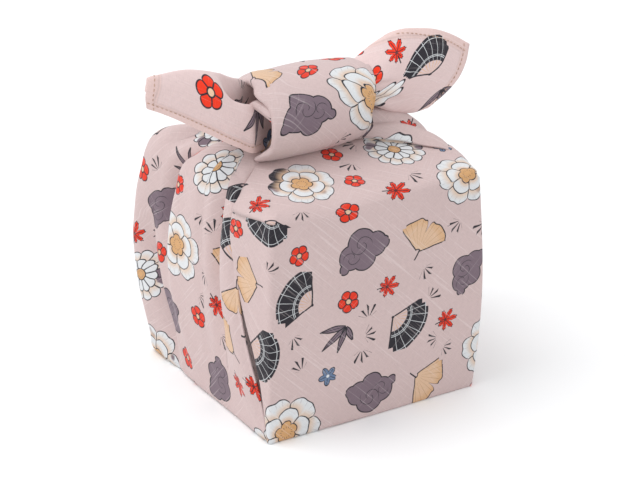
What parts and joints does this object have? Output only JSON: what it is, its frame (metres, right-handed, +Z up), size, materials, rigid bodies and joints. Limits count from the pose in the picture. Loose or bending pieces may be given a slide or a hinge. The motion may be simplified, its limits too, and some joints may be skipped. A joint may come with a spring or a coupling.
{
  "type": "furoshiki wrap",
  "caption": "Patterned square cloth wrapped round a cube, with soft gathers up the sides and a square knot on top whose free ends flare like ears.",
  "frame": {"origin": "centre of the flat underside, on the surface that the wrap stands on", "axes": "+Z up; the smooth front looks along -Y; the free ends of the knot point along -X and +X"},
  "size_m": [0.1706, 0.1179, 0.1675],
  "materials": {
    "cloth": "matt slub weave with a faint sheen, printed"
  },
  "bodies": {
    "root": {"furoshiki_cloth": "cloth"}
  },
  "joints": []
}
